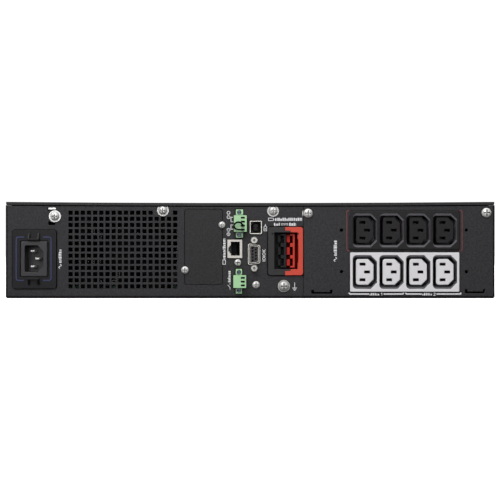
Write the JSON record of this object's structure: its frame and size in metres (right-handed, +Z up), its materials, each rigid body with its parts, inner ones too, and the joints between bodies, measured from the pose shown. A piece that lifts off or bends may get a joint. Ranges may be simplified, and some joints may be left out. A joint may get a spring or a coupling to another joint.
{
  "type": "rackmount uninterruptible power supply",
  "caption": "Low rack-mount backup power unit with shrouded mains inlet, grid-vented fan, appliance outlets, signal ports, tilting display and slide-out battery tray.",
  "frame": {"origin": "centre of the four rack-ear slots, in the plane where the ears bear on the rack rails", "axes": "+Z up, +Y from the front bezel towards the rear panel, +X to the right when facing the front"},
  "size_m": [0.4826, 0.4624, 0.0866],
  "materials": {
    "case_paint": "fine-textured black powder coat, semi-matt",
    "lid_paint": "fine-textured charcoal powder coat, semi-matt",
    "bezel_plastic": "spark-eroded black moulding",
    "inlet_plastic": "black moulded thermoplastic",
    "outlet_grey_dark": "dark charcoal moulded thermoplastic",
    "outlet_grey_light": "pale grey moulded thermoplastic",
    "brass_contact": "nickel-flashed brass",
    "nickel_blade": "nickel-plated brass",
    "battery_black": "black moulded nylon",
    "battery_red": "signal-red moulded nylon",
    "tinned_shell": "tin-plated steel shell",
    "port_plastic": "black port moulding",
    "terminal_green": "green polyamide",
    "board": "solder-masked glass-epoxy laminate",
    "zinc_screw": "bright zinc plate",
    "black_screw": "black oxide",
    "fan_plastic": "black glass-filled thermoplastic",
    "heatsink_alu": "extruded, mill finish",
    "capacitor_sleeve": "shrink sleeve",
    "ferrite": "varnished copper winding on a ring core",
    "relay_case": "sealed relay case",
    "wire_black": "insulated wire",
    "wire_red": "insulated wire",
    "zinc_tray": "zinc-plated sheet steel",
    "battery_case": "charcoal ABS battery case",
    "connector_grey": "grey power-connector housing",
    "window": "smoked display window",
    "key_grey": "soft-touch key"
  },
  "bodies": {
    "chassis": {"battery_receptacle": "connector_grey", "battery_socket_black": "battery_black", "battery_socket_contacts": "brass_contact", "battery_socket_red": "battery_red", "body_screws": "black_screw", "capacitors": "capacitor_sleeve", "chassis_base": "case_paint", "comm_board": "board", "data_jack_insert": "port_plastic", "data_jack_shell": "tinned_shell", "fan_frame": "fan_plastic", "front_bezel": "bezel_plastic", "ground_screw": "zinc_screw", "heatsinks": "heatsink_alu", "inductors": "ferrite", "inlet_housing": "inlet_plastic", "inlet_pins": "nickel_blade", "inlet_plate": "case_paint", "main_board": "board", "outlet_block_dark": "outlet_grey_dark", "outlet_block_light": "outlet_grey_light", "outlet_contacts": "brass_contact", "output_panel": "case_paint", "panel_screws": "zinc_screw", "port_contacts": "brass_contact", "rack_ears": "case_paint", "rear_panel": "case_paint", "rear_screws": "zinc_screw", "relays": "relay_case", "serial_insert": "port_plastic", "serial_jackscrews": "zinc_screw", "serial_shell": "tinned_shell", "slot_cover": "case_paint", "terminal_headers": "port_plastic", "top_cover": "lid_paint", "transformer": "ferrite", "usb_insert": "port_plastic", "usb_shell": "tinned_shell", "wiring_harness": "wire_black"},
    "fan_rotor": {"fan_rotor": "fan_plastic"},
    "battery_module": {"battery_tray": "zinc_tray", "battery_blocks": "battery_case", "battery_leads": "wire_red", "battery_plug": "connector_grey"},
    "thumbscrew_left": {"thumbscrew_left": "zinc_screw"},
    "thumbscrew_right": {"thumbscrew_right": "zinc_screw"},
    "access_cover": {"access_cover": "bezel_plastic"},
    "display": {"display_housing": "bezel_plastic", "display_window": "window", "display_board": "board"},
    "power_button": {"power_button": "key_grey"},
    "escape_button": {"escape_button": "key_grey"},
    "up_button": {"up_button": "key_grey"},
    "down_button": {"down_button": "key_grey"},
    "enter_button": {"enter_button": "key_grey"},
    "remote_plug": {"remote_plug": "terminal_green", "remote_plug_screws": "zinc_screw", "jumper_wire": "wire_black"},
    "relay_plug": {"relay_plug": "terminal_green", "relay_plug_screws": "zinc_screw"}
  },
  "joints": [
    {"name": "fan_spin", "type": "hinge", "parent": "chassis", "child": "fan_rotor", "pos_m": [0.1143, 0.405, 0], "axis": [0, 1, 0], "continuous": true},
    {"name": "battery_module_slide", "type": "slide", "parent": "chassis", "child": "battery_module", "axis": [0, -1, 0], "range_m": [0, 0.33]},
    {"name": "thumbscrew_left_release", "type": "slide", "parent": "battery_module", "child": "thumbscrew_left", "axis": [0, -1, 0], "range_m": [0, 0.0065]},
    {"name": "thumbscrew_right_release", "type": "slide", "parent": "battery_module", "child": "thumbscrew_right", "axis": [0, -1, 0], "range_m": [0, 0.0065]},
    {"name": "access_cover_pull", "type": "slide", "parent": "battery_module", "child": "access_cover", "axis": [0, -1, 0], "range_m": [0, 0.06]},
    {"name": "display_tilt", "type": "hinge", "parent": "chassis", "child": "display", "pos_m": [0.066, -0.023, 0.026], "axis": [-1, 0, 0], "range_deg": [0, 45]},
    {"name": "power_button_press", "type": "slide", "parent": "display", "child": "power_button", "axis": [0, 1, 0], "range_m": [0, 0.0012]},
    {"name": "escape_button_press", "type": "slide", "parent": "display", "child": "escape_button", "axis": [0, 1, 0], "range_m": [0, 0.0012]},
    {"name": "up_button_press", "type": "slide", "parent": "display", "child": "up_button", "axis": [0, 1, 0], "range_m": [0, 0.0012]},
    {"name": "down_button_press", "type": "slide", "parent": "display", "child": "down_button", "axis": [0, 1, 0], "range_m": [0, 0.0012]},
    {"name": "enter_button_press", "type": "slide", "parent": "display", "child": "enter_button", "axis": [0, 1, 0], "range_m": [0, 0.0012]},
    {"name": "remote_plug_withdraw", "type": "slide", "parent": "chassis", "child": "remote_plug", "axis": [0, 1, 0], "range_m": [0, 0.016]},
    {"name": "relay_plug_withdraw", "type": "slide", "parent": "chassis", "child": "relay_plug", "axis": [0, 1, 0], "range_m": [0, 0.016]}
  ]
}
